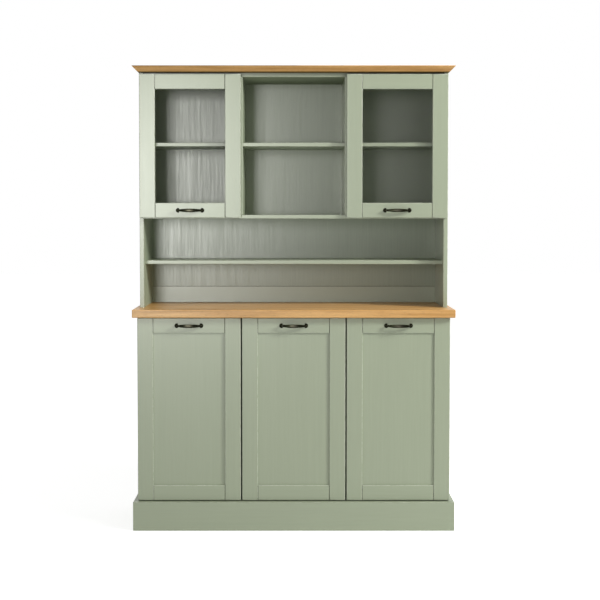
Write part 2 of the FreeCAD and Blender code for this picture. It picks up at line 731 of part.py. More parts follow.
def handle_shape():
    """A cast bow pull: two rosettes with posts, and a grip that swells and bows between them."""
    sections = []
    for station, fullness in zip(GRIP_STATION_SHARES, GRIP_FULLNESS_SHARES):
        ring = doc.addObject("Part::Ellipse", "GripSection")
        ring.Placement = FreeCAD.Placement(FreeCAD.Vector(), TURNS["x"])
        tie(ring,
            MajorRadius="(grip_end_height + %s * (grip_height - grip_end_height)) / 2" % fullness,
            MinorRadius="(grip_end_thickness + %s * (grip_thickness - grip_end_thickness)) / 2" % fullness)
        settle(ring, "%s * grip_half" % station, "-post_height - %s * grip_bow" % fullness)
        sections.append(ring)
    grip = doc.addObject("Part::Loft", "Grip")
    grip.Sections = sections
    grip.Solid = True
    pieces = [grip]
    for hand in ("-1", "1"):
        x = "%s * handle_half" % hand
        edge = doc.addObject("Part::Cylinder", "RosetteEdge")
        tie(edge, Radius="rosette_radius", Height="rosette_edge")
        dome = doc.addObject("Part::Cone", "RosetteDome")
        tie(dome, Radius1="rosette_radius", Radius2="post_radius", Height="rosette_height - rosette_edge")
        post = doc.addObject("Part::Cylinder", "Post")
        tie(post, Radius="post_radius", Height="post_height")
        knob = doc.addObject("Part::Sphere", "Knob")
        tie(knob, Radius="knob_radius")
        for piece, y in ((edge, "0"), (dome, "-rosette_edge"), (post, "0"), (knob, "-post_height")):
            piece.Placement = FreeCAD.Placement(FreeCAD.Vector(), TURNS["-y"])
            settle(piece, x, y)
            pieces.append(piece)
    whole = doc.addObject("Part::MultiFuse", "HandleSolid")
    whole.Shapes = pieces
    holes = []
    for hand in ("-1", "1"):
        hole = doc.addObject("Part::Cylinder", "HandleThread")
        hole.Placement = FreeCAD.Placement(FreeCAD.Vector(), TURNS["-y"])
        tie(hole, Radius="handle_screw_hole", Height="handle_screw_bite + overrun")
        settle(hole, "%s * handle_half" % hand, "overrun")
        holes.append(hole)
    bores = group("HandleThreads", holes)
    handle = doc.addObject("Part::Cut", "HandleShape")
    handle.Base = whole
    handle.Tool = bores
    return handle


def screw(name, radius, length, head_radius, head_height):
    """A pan-head screw that lies along Y, with its shank to the front and its head at the back."""
    body = new_body(name)
    rod(body, "Shank", radius, length, ("0", "0", "0"), "-y")
    head = rod(body, "Head", head_radius, head_height, ("0", "0", "0"), "y")
    doc.recompute()
    ease(body, head, "%s / 3" % head_height, rim(head.Shape, "back"))
    return body


def cup():
    """The cup of a concealed hinge, with its flange and the two ears that hold the pivot."""
    body = new_body("cup")
    rod(body, "Barrel", "cup_radius", "cup_depth", ("cup_centre", "0", "0"), "-y")
    rod(body, "Rim", "cup_radius + cup_rim", "flange_thickness", ("cup_centre", "0", "0"), "y")
    block(body, "Flange", ("cup_screw_line - flange_margin", "cup_screw_line + flange_margin"),
          ("0", "flange_thickness"), centred("(cup_screw_rise + flange_margin)"))
    rod(body, "Hollow", "cup_radius - cup_wall", "cup_depth - cup_floor + overrun",
        ("cup_centre", "overrun", "0"), "-y", cut=True)
    for name, z in (("UpperEar", ("ear_start", "pivot_half_length")),
                    ("LowerEar", ("-pivot_half_length", "-ear_start"))):
        block(body, name, ("pivot_inset - ear_margin", "pivot_inset + 2 * ear_margin"),
              ("cup_floor / 2 - cup_depth", "ear_margin - pivot_depth"), z)
    rod(body, "PivotHole", "pivot_radius + pivot_clearance", "2 * (pivot_half_length + cup_wall)",
        ("pivot_inset", "-pivot_depth", "-pivot_half_length - cup_wall"), "z", cut=True)
    for rise in ("cup_screw_rise", "-cup_screw_rise"):
        rod(body, "ScrewHole", "screw_hole", "flange_thickness + 2 * overrun",
            ("cup_screw_line", "-overrun", rise), "y", cut=True)
    return body


def arm():
    """The fixed arm of a hinge, with the pivot that the cup turns on."""
    body = new_body("arm")
    neck = centred("neck_half_width")
    tail_start = "door_gap + arm_shoulder"
    rod(body, "Knuckle", "knuckle_radius", "2 * neck_half_width",
        ("pivot_inset", "-pivot_depth", "-neck_half_width"), "z")
    rod(body, "Pivot", "pivot_radius", "2 * pivot_half_length",
        ("pivot_inset", "-pivot_depth", "-pivot_half_length"), "z")
    block(body, "Reach", ("pivot_inset", "arm_back"),
          ("-pivot_depth - knuckle_radius", "knuckle_radius - pivot_depth"), neck)
    block(body, "Neck", ("arm_face", "arm_back"), ("-pivot_depth - knuckle_radius", tail_start), neck)
    block(body, "Tail", ("arm_face", "arm_back"), (tail_start, "plate_line + arm_tail"),
          centred("arm_half_width"))
    return body


def plate(name, thickness):
    """A cross-shaped mounting plate between a board and the arm of a hinge."""
    body = new_body(name)
    thick = ("arm_face - %s" % thickness, "arm_face")
    block(body, "Wings", thick, ("plate_line - plate_half_width", "plate_line + plate_half_width"),
          centred("(plate_screw_rise + plate_margin)"))
    block(body, "Seat", thick, ("door_gap + plate_lead", "plate_line + arm_tail"),
          centred("plate_half_width"))
    for rise in ("plate_screw_rise", "-plate_screw_rise"):
        rod(body, "ScrewHole", "screw_hole", "%s + 2 * overrun" % thickness,
            ("arm_face - %s - overrun" % thickness, "plate_line", rise), "x", cut=True)
    return body


def plate_screw(name, thickness):
    """A screw that holds a mounting plate, from the face of the plate into its board."""
    body = new_body(name)
    rod(body, "Shank", "screw_radius", "%s + screw_bite" % thickness,
        ("arm_face", "plate_line", "0"), "-x")
    head = rod(body, "Head", "screw_head_radius", "screw_head_height",
               ("arm_face", "plate_line", "0"), "x")
    doc.recompute()
    ease(body, head, "screw_head_height / 3", rim(head.Shape, "right"))
    return body


def bumper_pair(plan, levels):
    """Two soft pads on the carcass behind the latch side of a door."""
    left, back, bottom = plan.place
    pads = []
    for level in levels:
        body = new_body(plan.name + "_bumper", "%s + %s - bumper_inset" % (left, plan.width),
                        "%s + door_gap" % back, level)
        rod(body, "Pad", "bumper_radius", "door_gap - bumper_clearance", ("0", "0", "0"), "-y")
        pads.append(body)
    return pads


def pair(name, piece, plan, extra=("0",)):
    """Copies of a hinge piece at both hinges of a door, in the cabinet's frame."""
    left, back, bottom = plan.place
    copies = [group(name, [piece], left, back, "%s + %s + %s" % (bottom, hinge, rise))
              for hinge in plan.hinges for rise in extra]
    return group(name + "_pair", copies)


def door_pieces(plan, glazed, shared):
    """All the pieces that swing with one left-hinged door, by the last part of their names."""
    top_z = "%s - rail_width" % plan.height
    handle_on_top = not glazed
    rails = [rail(plan, "top_rail", top_z, "bottom", glazed, handle_on_top),
             rail(plan, "bottom_rail", "0", "top", glazed, not handle_on_top)]
    left, back, bottom = plan.place
    handle_x = "%s + %s / 2" % (left, plan.width)
    handle_base = top_z if handle_on_top else "0"
    handle_z = "%s + %s + handle_rise" % (bottom, handle_base)
    screws = [group("handle_screw", [shared["handle_screw"]], "%s + %s * handle_half" % (handle_x, hand),
                    back, handle_z) for hand in ("-1", "1")]
    screws.append(pair("cup_screw", shared["cup_screw"], plan, ("cup_screw_rise", "-cup_screw_rise")))
    pieces = {
        "stiles": group(plan.name + "_stiles", stiles(plan, glazed)),
        "rails": group(plan.name + "_rails", rails),
        "handle": group(plan.name + "_handle", [shared["handle"]], handle_x, "%s - door_thickness" % back,
                        handle_z),
        "screws": group(plan.name + "_screws", screws),
        "hinge_cups": pair(plan.name + "_cups", shared["cup"], plan),
    }
    if glazed:
        pieces["glass"] = glass(plan)
        pieces["glass_beads"] = group(plan.name + "_beads", glass_beads(plan))
    else:
        pieces["panel"] = panel(plan)
    return pieces


def doors():
    """Three base doors and two glazed doors, with everything that hangs them on the carcass."""
    base_plan = DoorPlan("base_left_door", "-carcass_half", "base_door_back", "base_door_bottom",
                         "base_door_width", "base_door_height")
    glazed_plan = DoorPlan("glazed_left_door", "glazed_door_inset - carcass_half", "hutch_door_back",
                           "glazed_door_bottom", "glazed_door_width", "glazed_door_height")
    cup_screw = screw("cup_screw", "screw_radius", "screw_bite + flange_thickness", "screw_head_radius",
                      "screw_head_height")
    seated = group("seated_cup_screw", [cup_screw], "cup_screw_line", "flange_thickness")
    shared = {
        "handle": handle_shape(),
        "handle_screw": screw("handle_screw", "handle_screw_radius", "door_thickness + handle_screw_bite",
                              "handle_screw_head_radius", "handle_screw_head_height"),
        "cup_screw": seated,
        "cup": cup(),
    }
    for piece, made in door_pieces(base_plan, False, shared).items():
        sub_part("base_left_door_" + piece, made)
        sub_part("base_middle_door_" + piece,
                 group("base_middle_door_" + piece, [made], "base_door_pitch"))
        sub_part("base_right_door_" + piece, mirror("base_right_door_" + piece, made))
    for piece, made in door_pieces(glazed_plan, True, shared).items():
        sub_part("glazed_left_door_" + piece, made)
        sub_part("glazed_right_door_" + piece, mirror("glazed_right_door_" + piece, made))

    def on_every_door(name, outer_piece, middle_piece, glazed_piece, rises=("0",)):
        """Set a fixed hinge piece at every hinge of the cabinet."""
        base_left = pair("base_" + name, outer_piece, base_plan, rises)
        middle = pair("middle_" + name, middle_piece, base_plan, rises)
        glazed_left = pair("glazed_" + name, glazed_piece, glazed_plan, rises)
        return group(name, [base_left, group("base_middle_" + name, [middle], "base_door_pitch"),
                            mirror("base_right_" + name, base_left), glazed_left,
                            mirror("glazed_right_" + name, glazed_left)])

    on_divider = "(arm_face - middle_overlap)"
    on_hutch = "(plate_thickness + glazed_door_inset)"
    fixed_arm = arm()
    sub_part("hinge_arms", on_every_door("hinge_arms", fixed_arm, fixed_arm, fixed_arm))
    sub_part("hinge_plates", on_every_door("hinge_plates", plate("plate", "plate_thickness"),
                                           plate("tall_plate", on_divider), plate("hutch_plate", on_hutch)))
    sub_part("hinge_plate_screws", on_every_door(
        "hinge_plate_screws", plate_screw("plate_screw", "plate_thickness"),
        plate_screw("tall_plate_screw", on_divider), plate_screw("hutch_plate_screw", on_hutch),
        ("plate_screw_rise", "-plate_screw_rise")))

    base_left = group("base_bumpers", bumper_pair(base_plan, (
        "(base_door_bottom + base_floor_top) / 2",
        "(stretcher_bottom + base_door_bottom + base_door_height) / 2")))
    glazed_left = group("glazed_bumpers", bumper_pair(glazed_plan, (
        "(glazed_door_bottom + hutch_floor_top) / 2",
        "(hutch_top_bottom + glazed_door_bottom + glazed_door_height) / 2")))
    sub_part("door_bumpers", group("door_bumpers", [
        base_left, group("middle_bumpers", [base_left], "base_door_pitch"),
        mirror("right_bumpers", base_left), glazed_left, mirror("glazed_right_bumpers", glazed_left)]))


def check_and_write():
    """Stop at anything that failed to build, then write one file for each sub-part."""
    doc.recompute()
    for item in doc.Objects:
        if "Invalid" in item.State or "Error" in item.State:
            raise RuntimeError("%s did not build: %s" % (item.Label, item.State))
    for thing in sub_parts:
        if thing.Shape.isNull() or not thing.Shape.isValid() or not thing.Shape.Solids:
            raise RuntimeError("%s has no valid solid" % thing.Label)
    os.makedirs("parts", exist_ok=True)
    for thing in sub_parts:
        thing.Shape.exportStep("parts/%s.step" % thing.Label)
    print("%d sub-parts" % len(sub_parts))


plinth()
base()
worktop()
hutch()
cornice()
shelf_pins()
doors()
check_and_write()
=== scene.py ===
# Finishes the display cabinet: painted boards with softened edges, oiled oak, cast bronze pulls,
# clear panes and nickel hinges, each in the place that its solid holds.
import json
import math
import bmesh
import bpy
from bpy.props import FloatProperty, FloatVectorProperty, IntProperty, PointerProperty
from mathutils import Matrix, Vector


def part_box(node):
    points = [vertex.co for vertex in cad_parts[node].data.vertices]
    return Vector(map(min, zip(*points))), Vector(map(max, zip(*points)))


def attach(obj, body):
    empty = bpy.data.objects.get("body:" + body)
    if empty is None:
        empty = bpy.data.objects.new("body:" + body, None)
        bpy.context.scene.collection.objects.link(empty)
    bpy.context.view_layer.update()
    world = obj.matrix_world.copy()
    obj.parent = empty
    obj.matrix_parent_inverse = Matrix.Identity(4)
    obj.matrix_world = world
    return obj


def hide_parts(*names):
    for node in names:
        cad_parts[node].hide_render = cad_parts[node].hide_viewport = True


bl_info = {
    "name": "Display Cabinet",
    "version": (1, 0, 0),
    "blender": (4, 5, 0),
    "location": "3D View > Sidebar > Cabinet",
    "description": "Builds the finished boards, doors, pulls and hinges of a two-part display cabinet",
    "category": "Object",
}

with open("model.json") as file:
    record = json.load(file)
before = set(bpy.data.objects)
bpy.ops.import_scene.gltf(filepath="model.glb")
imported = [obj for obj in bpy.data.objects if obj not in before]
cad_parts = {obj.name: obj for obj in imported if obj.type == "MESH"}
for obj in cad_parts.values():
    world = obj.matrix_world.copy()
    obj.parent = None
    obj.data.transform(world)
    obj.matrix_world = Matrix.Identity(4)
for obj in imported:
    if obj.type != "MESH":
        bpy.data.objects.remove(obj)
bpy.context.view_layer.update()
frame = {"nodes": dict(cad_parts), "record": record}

MM = 0.001
MEETING = 0.002 * MM  # vertices nearer than this are one
FLAT_TURN = math.radians(1)  # faces that differ by less are made one
SHARP_TURN = math.radians(28)  # edges that turn by more are rounded
TOUCH = 0.01 * MM  # how far past a screw's box its vertices may lie
NOISE_LOW, NOISE_HIGH = 0.3, 0.7  # what a noise pattern usually covers

# Finish of the boards and frames.
STILE_WIDTH = 66 * MM
BACK_ROUNDING = 0.4 * MM
RAIL_ROUNDING = 1.5 * MM
PANE_ROUNDING = 0.5 * MM
JOINT_REACH = 1.7 * MM  # how far the dark joint line, painted shade and dust, reaches from a stile's edge
JOINT_DEPTH = 2 * MM  # and how deep behind the door's face
SHADOW_LINE = 2.2 * MM  # height of the painted shadow along the cornice's foot
GAP_SHADE = 40 * MM  # reach of the painted shade on edges behind the doors
CORNICE_SHADE = 25 * MM  # reach of the painted shade under the cornice
CHAMFER_HIGHLIGHT = 1.8  # painted highlight on the chamfers that face the lamps, where a rounded edge's wear has 1
BEAD_WIDTH = 8 * MM
BEAD_ROUNDING = 4.5 * MM

# The pulls, in millimetres: a profile is pairs of height over the door and radius.
POST_PLACE = 50.5  # from the pull's middle to each post
FOOT_CUT = 4.2  # from a foot's middle to its straight side
FOOT_RADIUS = 9.75
FOOT_PROFILE = (
    (0, 0), (0, FOOT_RADIUS), (0.9, FOOT_RADIUS), (1.3, FOOT_RADIUS - 0.35),
    (1.5, FOOT_RADIUS - 0.9), (1.5, FOOT_RADIUS - 1.5), (1.9, FOOT_RADIUS - 2.0),
    (2.6, FOOT_RADIUS - 2.6), (3.3, FOOT_RADIUS - 3.6), (3.9, FOOT_RADIUS - 4.8), (4.3, 3.6), (4.4, 0))
POST_PROFILE = (
    (0.5, 0), (0.5, 4.6), (4.2, 4.6), (5.2, 4.1), (7.5, 3.7), (9.5, 3.9), (10.5, 4.6), (12.0, 5.2),
    (13.6, 5.35), (15.2, 4.9), (16.2, 3.9), (16.6, 3.1), (17.3, 2.6), (17.4, 1.4), (17.4, 0))
# The grip: each size at its ends, and what its middle has more.
GRIP_REACH, GRIP_HEIGHT, GRIP_THICKNESS = (12.5, 8.6), (3.9, 3.5), (2.9, 0.6)
GRIP_INSET = 3.2  # from a post's middle to the grip's end
GRIP_SAG = 0.5
GRIP_LEAN = math.radians(-30)
GRIP_STEPS, GRIP_SIDES = 24, 28
GRIP_WEAR_REACH = 14 * MM  # from the middle to where the rubbing has faded to a third

# Screws, as height of the head and radius of the shank. Their heads and the door pads, as shares of
# height and radius.
PULL_SCREW_LENGTH = 20 * MM  # in a door, a longer screw holds the pull
PULL_SCREW = (2.6 * MM, 2.0 * MM)
HINGE_SCREW = (1.6 * MM, 1.75 * MM)
SCREW_SIDES = 20
HEAD_FLAT, RECESS_DEPTH = 0.92, 0.6
HEAD_PROFILE = ((-0.05, 0.78), (-0.25, 0.93), (-0.6, 1.0), (-1.0, 1.0))
PAD_PROFILE = ((0, 0), (0, 1), (0.35, 1), (0.6, 0.93), (0.82, 0.75), (0.95, 0.45), (1, 0))
PIN_ROUNDING = 0.7 * MM
PIN_SIDES = PAD_SIDES = 24

# The stage, in metres.
LAMP_AIM = (0, -0.1, 1.1)
SOFT_PLACE, SOFT_SIZE = (3.2, -2.2, 3.4), (2.0, 2.0)
RAKE_PLACE, RAKE_SIZE = (3.5, -1.7, 2.9), (0.6, 0.9)
CARD_PLACE, CARD_AIM, CARD_SIZE = (-1.4, -5.3, 1.65), (-1.4, 0, 1.65), (1.2, 1.5)
CARD_COLOUR = (0.985, 1.0, 0.935)
FLOOR_GLOW = 0.67
CAMERA_PLACE, CAMERA_TILT = (0, -5.073, 1.337), math.radians(90 - 2.103)
CAMERA_SHIFT = (0.0105, -0.075)
SENSOR_WIDTH = 36

BODY_OF = {node: body for body, nodes in frame["record"]["behaviour"]["bodies"].items()
           for node in nodes}
SLOT_OF = {row["node"]: row["material_slot"] for row in frame["record"]["subparts"]}
BASE_DOORS = ("base_left_door", "base_middle_door", "base_right_door")
GLAZED_DOORS = ("glazed_left_door", "glazed_right_door")
DOORS = BASE_DOORS + GLAZED_DOORS
UPRIGHT_BOARDS = ("base_side_left", "base_side_right", "base_dividers", "hutch_side_left",
                  "hutch_side_right", "hutch_dividers")
LEVEL_BOARDS = ("plinth_front", "plinth_rear", "base_floor", "base_stretchers", "base_shelves",
                "hutch_floor", "hutch_top", "display_shelves", "niche_shelf", "niche_back_rail")
DEEP_BOARDS = ("plinth_returns",)
BACK_PANELS = ("base_back", "hutch_back")
# Boards whose front edges, seen between the doors, have painted shade.
SEEN_IN_GAPS = ("base_dividers", "base_floor", "base_stretchers")


class PaintSettings(bpy.types.PropertyGroup):
    colour: FloatVectorProperty(name="Paint", description="Colour of the painted boards and doors",
                                subtype="COLOR", size=3, min=0, max=1, default=(0.332, 0.377, 0.262))
    # The rubbed paint's colour also gives the painted highlight on chamfers that face the lamps.
    wear_and_highlight_colour: FloatVectorProperty(name="Rubbed paint", description="Colour where edges are rubbed",
                                     subtype="COLOR", size=3, min=0, max=1, default=(0.50, 0.53, 0.42))
    back_colour: FloatVectorProperty(name="Back panels", description="Colour of the thin back panels",
                                     subtype="COLOR", size=3, min=0, max=1, default=(0.250, 0.292, 0.190))
    inner_colour: FloatVectorProperty(name="Inner boards", description="Colour inside the base",
                                      subtype="COLOR", size=3, min=0, max=1, default=(0.31, 0.35, 0.25))
    edge_radius: FloatProperty(name="Edge radius", description="How far the boards' edges are rounded",
                               unit="LENGTH", subtype="DISTANCE", min=0, default=0.6 * MM)


class OakSettings(bpy.types.PropertyGroup):
    pale: FloatVectorProperty(name="Pale oak", description="Colour of the early wood",
                              subtype="COLOR", size=3, min=0, max=1, default=(0.815, 0.482, 0.178))
    dark: FloatVectorProperty(name="Dark oak", description="Colour of the late wood",
                              subtype="COLOR", size=3, min=0, max=1, default=(0.540, 0.278, 0.078))
    edge_radius: FloatProperty(name="Edge radius", description="How far the oak edges are rounded",
                               unit="LENGTH", subtype="DISTANCE", min=0, default=0.5 * MM)


class MetalSettings(bpy.types.PropertyGroup):
    bronze: FloatVectorProperty(name="Dark bronze", description="Colour of the pulls",
                                subtype="COLOR", size=3, min=0, max=1, default=(0.0062, 0.0070, 0.0035))
    rubbed: FloatVectorProperty(name="Rubbed bronze", description="Colour of the pulls' high places",
                                subtype="COLOR", size=3, min=0, max=1, default=(0.056, 0.052, 0.038))
    nickel: FloatVectorProperty(name="Nickel", description="Colour of the hinges, pins and screws",
                                subtype="COLOR", size=3, min=0, max=1, default=(0.66, 0.65, 0.62))
    edge_radius: FloatProperty(name="Edge radius", description="How far the fittings' edges are rounded",
                               unit="LENGTH", subtype="DISTANCE", min=0, default=0.3 * MM)
    turns: IntProperty(name="Turning steps", description="Number of faces round a turned fitting",
                       min=12, default=40)


class StageSettings(bpy.types.PropertyGroup):
    floor_size: FloatProperty(name="Floor size", description="Length of each side of the floor",
                              unit="LENGTH", subtype="DISTANCE", min=1, default=40)
    fill: FloatProperty(name="Fill light", description="Strength of the even light from all round",
                        min=0, default=0.385)
    soft: FloatProperty(name="Soft light", description="Power of the soft lamp at the upper right",
                        unit="POWER", min=0, default=40)
    rake: FloatProperty(name="Raking light", description="Power of the narrow lamp close at the right",
                        unit="POWER", min=0, default=133)
    card: FloatProperty(name="Light card", description="Power of the card that satin paint mirrors",
                        unit="POWER", min=0, default=280)
    lens: FloatProperty(name="Lens", description="Focal length on a 36 mm sensor, in millimetres",
                        min=1, default=70.15)


class CabinetSettings(bpy.types.PropertyGroup):
    paint: PointerProperty(type=PaintSettings)
    oak: PointerProperty(type=OakSettings)
    metal: PointerProperty(type=MetalSettings)
    stage: PointerProperty(type=StageSettings)


def settings():
    return bpy.context.scene.display_cabinet


class Surface:
    """A material in the making: nodes are added one by one and joined to its shader."""

    def __init__(self, name):
        self.material = bpy.data.materials.new(name)
        self.material.use_nodes = True
        self.tree = self.material.node_tree
        self.tree.nodes.clear()
        self.shader = self.add("ShaderNodeBsdfPrincipled")
        self.output = self.add("ShaderNodeOutputMaterial")
        self.join(self.shader.outputs["BSDF"], self.output.inputs["Surface"])
        self.place = self.add("ShaderNodeTexCoord").outputs["Object"]

    def add(self, kind, **values):
        node = self.tree.nodes.new(kind)
        for word, value in values.items():
            setattr(node, word, value)
        return node

    def join(self, output, socket):
        self.tree.links.new(output, socket)

    def set(self, **values):
        """Set sockets of the shader, each named in small letters with _ for a space."""
        for word, value in values.items():
            socket = word.replace("_", " ").title().replace("Ior", "IOR")
            self.shader.inputs[socket].default_value = value

    def stretched(self, scale, source=None):
        """Coordinates squeezed by a different amount along each axis."""
        mapping = self.add("ShaderNodeMapping")
        mapping.inputs["Scale"].default_value = scale
        self.join(source or self.place, mapping.inputs["Vector"])
        return mapping.outputs["Vector"]

    def noise(self, place, scale=1.0, detail=3.0, roughness=0.5, distortion=0.0):
        node = self.add("ShaderNodeTexNoise")
        for word, value in (("Scale", scale), ("Detail", detail), ("Roughness", roughness),
                            ("Distortion", distortion)):
            node.inputs[word].default_value = value
        self.join(place, node.inputs["Vector"])
        return node.outputs["Fac"]

    def between(self, value, low=NOISE_LOW, high=NOISE_HIGH, to=(0.0, 1.0)):
        """Spread a range of a pattern, by default what noise usually covers, over another range."""
        node = self.add("ShaderNodeMapRange")
        for word, number in zip(("From Min", "From Max", "To Min", "To Max"), (low, high, *to)):
            node.inputs[word].default_value = number
        self.join(value, node.inputs["Value"])
        return node.outputs["Result"]

    def combine(self, kind, first, second):
        node = self.add("ShaderNodeMath", operation=kind)
        for socket, value in zip(node.inputs, (first, second)):
            if isinstance(value, float):
                socket.default_value = value
            else:
                self.join(value, socket)
        return node.outputs["Value"]

    def tint(self, factor, first, second, kind="MIX"):
        """One colour where the pattern is low, another where it is high."""
        node = self.add("ShaderNodeMix", data_type="RGBA", blend_type=kind)
        sockets = (node.inputs[0], node.inputs[6], node.inputs[7])
        for socket, value in zip(sockets, (factor, first, second)):
            if isinstance(value, bpy.types.NodeSocket):
                self.join(value, socket)
            elif isinstance(value, float):
                socket.default_value = value
            else:
                socket.default_value = (*value, 1)
        return node.outputs[2]

    def attribute(self, name):
        return self.add("ShaderNodeAttribute", attribute_name=name).outputs["Fac"]

    def bump(self, height, depth, strength=0.5, after=None):
        node = self.add("ShaderNodeBump")
        node.inputs["Strength"].default_value = strength
        node.inputs["Distance"].default_value = depth
        self.join(height, node.inputs["Height"])
        if after is not None:
            self.join(after, node.inputs["Normal"])
        self.join(node.outputs["Normal"], self.shader.inputs["Normal"])
        return node.outputs["Normal"]

    def colour(self, output):
        self.join(output, self.shader.inputs["Base Color"])

    def roughness(self, output):
        self.join(output, self.shader.inputs["Roughness"])


def along(axis, length, width):
    """Scales of a pattern that runs long along one axis and fine across it."""
    return tuple(length if name == axis else width for name in "xyz")


def shade(colour, share):
    return tuple(channel * share for channel in colour)


def once(name, make):
    """The material of that name, made the first time that it is asked for."""
    return bpy.data.materials.get(name) or make(name)


def paint(name, colour, grain, streaks=0.04, relief=0.25 * MM, gloss=0.5, sheen=(0.33, 0.39),
          shadow=0.0):
    """Paint brushed over open grain, a little rubbed along the edges, with a painted highlight on
    chamfers marked as lit.

    Sheen is its least and most roughness, and shadow the reach of a painted shade that darkens the colour
    in narrow gaps.
    """
    surface = Surface(name)
    surface.set(specular_ior_level=gloss)
    broad = surface.noise(surface.stretched(along(grain, 5, 150)), detail=4, roughness=0.6,
                          distortion=0.3)
    fine = surface.noise(surface.stretched(along(grain, 18, 620)), detail=3, roughness=0.65)
    cloud = surface.noise(surface.place, scale=2.3, detail=2)
    wide = surface.noise(surface.stretched(along(grain, 0.9, 95)), detail=4, roughness=0.7)
    broad, fine, wide = (surface.combine("MULTIPLY", pattern, share)
                         for pattern, share in ((broad, 0.4), (fine, 0.3), (wide, 0.3)))
    mixed = surface.combine("ADD", surface.combine("ADD", broad, fine), wide)
    body = surface.tint(surface.between(mixed, 0.34, 0.66),
                        shade(colour, 1 - streaks), shade(colour, 1 + streaks))
    aged = surface.tint(surface.between(cloud), (0.985, 0.985, 0.975), (1.0, 1.0, 1.0))
    body = surface.tint(1.0, body, aged, kind="MULTIPLY")
    patches = surface.noise(surface.place, scale=55.0, detail=4, roughness=0.7)
    patches = surface.between(patches, 0.38, 0.62)
    # The rubbed mask holds edge wear and, on door frames, a painted highlight on the chamfers that face
    # the lamps.
    rubbed = surface.combine("MULTIPLY", surface.attribute("rubbed"), patches)
    body = surface.tint(rubbed, body, settings().paint.wear_and_highlight_colour)
    # Painted shade: an occlusion mask darkens the colour where other parts stand close.
    if shadow:
        painted_shade = surface.add("ShaderNodeAmbientOcclusion", samples=12)
        painted_shade.inputs["Distance"].default_value = shadow
        body = surface.tint(1.0, body, painted_shade.outputs["Color"], kind="MULTIPLY")
    surface.colour(body)
    surface.roughness(surface.between(mixed, to=sheen))
    dimples = surface.bump(surface.noise(surface.place, scale=900.0, detail=2), 0.06 * MM, 0.35)
    surface.bump(mixed, relief, 0.55, after=dimples)
    return surface.material


def oak(name, grain):
    """Oiled oak: long wavy figure and bands, fine fibres and short dark pores along the grain."""
    colours = settings().oak
    surface = Surface(name)
    surface.set(specular_ior_level=0.3)
    wander = surface.noise(surface.stretched(along(grain, 1.2, 9)), detail=3)
    bend = surface.add("ShaderNodeVectorMath", operation="MULTIPLY_ADD")
    surface.join(wander, bend.inputs[0])
    bend.inputs[1].default_value = (12 * MM,) * 3
    surface.join(surface.place, bend.inputs[2])
    bent = bend.outputs["Vector"]
    figure = surface.noise(surface.stretched(along(grain, 1.6, 75), bent), detail=6, roughness=0.55,
                           distortion=0.4)
    bands = surface.noise(surface.stretched(along(grain, 2.6, 34), bent), detail=3, roughness=0.6,
                          distortion=0.6)
    figure = surface.combine("ADD", surface.combine("MULTIPLY", figure, 0.45),
                             surface.combine("MULTIPLY", bands, 0.55))
    fibres = surface.noise(surface.stretched(along(grain, 14, 900), bent), detail=3, roughness=0.6)
    pores = surface.between(surface.noise(surface.stretched(along(grain, 60, 1500), bent), detail=1),
                            0.63, 0.70)
    wood = surface.tint(surface.between(figure, 0.36, 0.62), colours.dark, colours.pale)
    fibre_tone = surface.tint(surface.between(fibres), (0.88, 0.86, 0.84), (1.06, 1.06, 1.06))
    wood = surface.tint(1.0, wood, fibre_tone, kind="MULTIPLY")
    wood = surface.tint(surface.combine("MULTIPLY", pores, 0.55), wood, shade(colours.dark, 0.45))
    patches = surface.between(surface.noise(surface.place, scale=40.0, detail=3), 0.4, 0.65)
    rubbed = surface.combine("MULTIPLY", surface.attribute("rubbed"), patches)
    rubbed = surface.combine("MULTIPLY", rubbed, 0.5)
    surface.colour(surface.tint(rubbed, wood, shade(colours.pale, 1.12)))
    surface.roughness(surface.between(fibres, to=(0.30, 0.42)))
    grooves = surface.bump(fibres, 0.18 * MM, 0.5)
    surface.bump(surface.combine("SUBTRACT", 1.0, pores), 0.2 * MM, 0.4, after=grooves)
    return surface.material


def bronze(name):
    """Cast bronze with a near-black patina, rubbed warm on its high places."""
    colours = settings().metal
    surface = Surface(name)
    surface.set(metallic=1.0, specular_tint=(0.25, 0.22, 0.16, 1))
    high = surface.between(surface.add("ShaderNodeNewGeometry").outputs["Pointiness"], 0.505, 0.56)
    blotch = surface.noise(surface.place, scale=260.0, detail=5, roughness=0.65)
    high = surface.combine("MULTIPLY", high, 0.5)
    high = surface.combine("MAXIMUM", high, surface.attribute("rubbed"))
    rubbed = surface.combine("MULTIPLY", high, surface.between(blotch, 0.25, 0.55))
    base = surface.tint(surface.between(blotch),
                        shade(colours.bronze, 0.8), shade(colours.bronze, 1.3))
    surface.colour(surface.tint(rubbed, base, colours.rubbed))
    surface.roughness(surface.between(blotch, to=(0.30, 0.46)))
    surface.bump(surface.noise(surface.place, scale=700.0, detail=3), 0.08 * MM, 0.4)
    return surface.material


def nickel(name):
    """Nickel plate over pressed steel, with faint rolling lines."""
    surface = Surface(name)
    surface.set(metallic=1.0)
    lines = surface.noise(surface.stretched((300, 300, 4000)), detail=2)
    smear = surface.noise(surface.place, scale=120.0, detail=4)
    tone = settings().metal.nickel
    surface.colour(surface.tint(surface.between(smear), shade(tone, 0.90), shade(tone, 1.06)))
    surface.roughness(surface.between(smear, to=(0.22, 0.36)))
    surface.bump(lines, 0.04 * MM, 0.3)
    return surface.material


